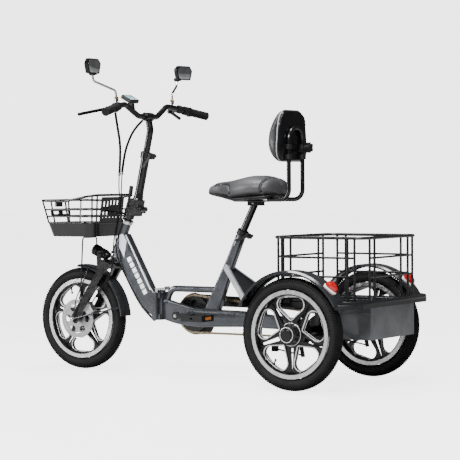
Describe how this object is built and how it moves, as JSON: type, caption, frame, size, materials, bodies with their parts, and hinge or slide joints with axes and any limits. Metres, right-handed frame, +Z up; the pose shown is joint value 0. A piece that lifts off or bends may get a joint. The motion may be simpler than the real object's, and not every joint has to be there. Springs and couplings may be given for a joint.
{
  "type": "adult tricycle",
  "caption": "Folding electric tricycle for adults with cast wheels, padded seat with backrest, front basket and rear wire cargo cage.",
  "frame": {"origin": "on the ground under the middle of the tricycle's box", "axes": "+X forward, +Y to the rider's left, +Z up"},
  "size_m": [1.6427, 0.716, 1.236],
  "materials": {
    "gunmetal": "metallic gloss",
    "black_paint": "satin gloss",
    "fender_paint": "gloss",
    "box_paint": "satin",
    "cage_paint": "gloss",
    "cast_wheel": "painted with machined faces",
    "steel": "brushed",
    "bright": "polished",
    "tyre": "matt",
    "chain_steel": "oiled",
    "saddle_cover": "grained",
    "black_plastic": "satin",
    "lens_red": "clear red",
    "grip_rubber": "ribbed",
    "cable": "smooth",
    "aluminium": "satin"
  },
  "bodies": {
    "rear_frame": {"lower_tube": "gunmetal", "seat_tube": "gunmetal", "loop_tube": "gunmetal", "seat_stays": "gunmetal", "rear_axle": "black_paint", "drive_motor": "black_plastic", "rear_brakes": "black_plastic", "deck": "fender_paint", "rear_fenders": "fender_paint", "tail_lights": "lens_red", "battery_box": "box_paint", "battery": "black_plastic", "cargo_cage": "cage_paint", "chain": "chain_steel", "chain_guard": "black_plastic", "seat_clamp": "black_plastic"},
    "front_frame": {"down_tube": "gunmetal", "head_tube": "gunmetal"},
    "frame_latch": {"frame_latch": "aluminium"},
    "steering": {"fork": "black_paint", "front_fender": "fender_paint", "brake_caliper": "aluminium", "horn": "black_plastic", "front_basket": "black_paint", "front_brackets": "black_paint", "stem_base": "black_paint", "lower_cables": "cable"},
    "headlight": {"headlight": "black_plastic"},
    "front_wheel": {"front_wheel": "cast_wheel", "front_tyre": "tyre", "brake_disc": "steel"},
    "rear_left_wheel": {"rear_left_wheel": "cast_wheel", "rear_left_tyre": "tyre"},
    "rear_right_wheel": {"rear_right_wheel": "cast_wheel", "rear_right_tyre": "tyre"},
    "crankset": {"crankset": "black_paint"},
    "left_pedal": {"left_pedal": "black_plastic"},
    "right_pedal": {"right_pedal": "black_plastic"},
    "rear_sprocket": {"rear_sprocket": "steel"},
    "seat": {"seat_post": "aluminium", "saddle": "saddle_cover", "backrest_tube": "black_paint"},
    "backrest": {"backrest_plate": "black_paint", "backrest_pad": "saddle_cover"},
    "backrest_knob": {"backrest_knob": "black_plastic"},
    "seat_lever": {"seat_lever": "aluminium"},
    "stem": {"stem_tube": "black_paint"},
    "stem_latch": {"stem_latch": "black_paint"},
    "height_lever": {"height_lever": "aluminium"},
    "handlebar": {"handlebar": "black_paint", "grips": "grip_rubber", "lever_clamps": "black_plastic", "display": "black_plastic", "mirror_stalks": "bright", "upper_cables": "cable"},
    "left_brake_lever": {"left_brake_lever": "aluminium"},
    "right_brake_lever": {"right_brake_lever": "aluminium"},
    "throttle": {"throttle": "black_plastic"},
    "left_mirror": {"left_mirror": "black_plastic"},
    "right_mirror": {"right_mirror": "black_plastic"}
  },
  "joints": [
    {"name": "frame_fold", "type": "hinge", "parent": "rear_frame", "child": "front_frame", "pos_m": [0.22625, 0.041, 0.268], "axis": [0, 0, 1], "range_deg": [0, 72]},
    {"name": "frame_latch_turn", "type": "hinge", "parent": "front_frame", "child": "frame_latch", "pos_m": [0.23785, 0, 0.328], "axis": [0, 1, 0], "range_deg": [0, 75]},
    {"name": "steering_turn", "type": "hinge", "parent": "front_frame", "child": "steering", "pos_m": [0.38825, 0, 0.607], "axis": [-0.3932, 0, 0.9195], "range_deg": [-40, 40], "deforming": ["lower_cables"]},
    {"name": "headlight_tilt", "type": "hinge", "parent": "steering", "child": "headlight", "pos_m": [0.51725, 0, 0.473], "axis": [0, 1, 0], "range_deg": [-8, 20]},
    {"name": "front_wheel_spin", "type": "hinge", "parent": "steering", "child": "front_wheel", "pos_m": [0.61425, 0, 0.2065], "axis": [0, 1, 0], "continuous": true},
    {"name": "rear_left_wheel_spin", "type": "hinge", "parent": "rear_frame", "child": "rear_left_wheel", "pos_m": [-0.55775, 0.296, 0.2065], "axis": [0, 1, 0], "continuous": true},
    {"name": "rear_right_wheel_spin", "type": "hinge", "parent": "rear_frame", "child": "rear_right_wheel", "pos_m": [-0.55775, -0.296, 0.2065], "axis": [0, 1, 0], "continuous": true},
    {"name": "crank_turn", "type": "hinge", "parent": "rear_frame", "child": "crankset", "pos_m": [0.10225, 0, 0.237], "axis": [0, 1, 0], "continuous": true},
    {"name": "left_pedal_spin", "type": "hinge", "parent": "crankset", "child": "left_pedal", "pos_m": [-0.03775, 0.139, 0.237], "axis": [0, 1, 0], "continuous": true},
    {"name": "right_pedal_spin", "type": "hinge", "parent": "crankset", "child": "right_pedal", "pos_m": [0.24225, -0.139, 0.237], "axis": [0, 1, 0], "continuous": true},
    {"name": "rear_sprocket_turn", "type": "hinge", "parent": "rear_frame", "child": "rear_sprocket", "pos_m": [-0.55775, -0.05, 0.2065], "axis": [0, 1, 0], "continuous": true},
    {"name": "seat_height", "type": "slide", "parent": "rear_frame", "child": "seat", "axis": [-0.4532, 0, 0.8914], "range_m": [-0.05, 0.06]},
    {"name": "seat_lever_turn", "type": "hinge", "parent": "rear_frame", "child": "seat_lever", "pos_m": [-0.189, 0, 0.54926], "axis": [0, 1, 0], "range_deg": [0, 90]},
    {"name": "backrest_height", "type": "slide", "parent": "seat", "child": "backrest", "axis": [0, 0, 1], "range_m": [-0.04, 0.012]},
    {"name": "backrest_knob_turn", "type": "hinge", "parent": "backrest", "child": "backrest_knob", "pos_m": [-0.41975, -0.05, 0.886], "axis": [1, 0, 0], "range_deg": [0, 360]},
    {"name": "stem_fold", "type": "hinge", "parent": "steering", "child": "stem", "pos_m": [0.31525, 0, 0.65], "axis": [0, 1, 0], "range_deg": [-45, 0], "deforming": ["lower_cables", "upper_cables"]},
    {"name": "stem_latch_turn", "type": "hinge", "parent": "steering", "child": "stem_latch", "pos_m": [0.39325, 0, 0.64], "axis": [0, 1, 0], "range_deg": [0, 40]},
    {"name": "height_lever_turn", "type": "hinge", "parent": "stem", "child": "height_lever", "pos_m": [0.26616, 0, 0.86133], "axis": [0, 1, 0], "range_deg": [0, 100]},
    {"name": "handlebar_height", "type": "slide", "parent": "stem", "child": "handlebar", "axis": [-0.2236, 0, 0.9747], "range_m": [-0.03, 0.08], "deforming": ["upper_cables"]},
    {"name": "left_brake_squeeze", "type": "hinge", "parent": "handlebar", "child": "left_brake_lever", "pos_m": [0.32625, 0.212, 1.046], "axis": [0, 0, 1], "range_deg": [0, 14], "stiffness_Nm_per_rad": 0.6},
    {"name": "right_brake_squeeze", "type": "hinge", "parent": "handlebar", "child": "right_brake_lever", "pos_m": [0.32625, -0.212, 1.046], "axis": [0, 0, -1], "range_deg": [0, 14], "stiffness_Nm_per_rad": 0.6},
    {"name": "throttle_twist", "type": "hinge", "parent": "handlebar", "child": "throttle", "pos_m": [0.27297, -0.23176, 1.04928], "axis": [-0.2961, -0.9387, -0.1764], "range_deg": [0, 45], "stiffness_Nm_per_rad": 0.2},
    {"name": "left_mirror_tilt", "type": "hinge", "parent": "handlebar", "child": "left_mirror", "pos_m": [0.34375, 0.288, 1.179], "axis": [0, 1, 0], "range_deg": [-15, 15]},
    {"name": "right_mirror_tilt", "type": "hinge", "parent": "handlebar", "child": "right_mirror", "pos_m": [0.34375, -0.288, 1.179], "axis": [0, 1, 0], "range_deg": [-15, 15]}
  ],
  "couplings": [
    {"joint": "rear_sprocket_turn", "follows": "crank_turn", "ratio": 1.8421}
  ]
}
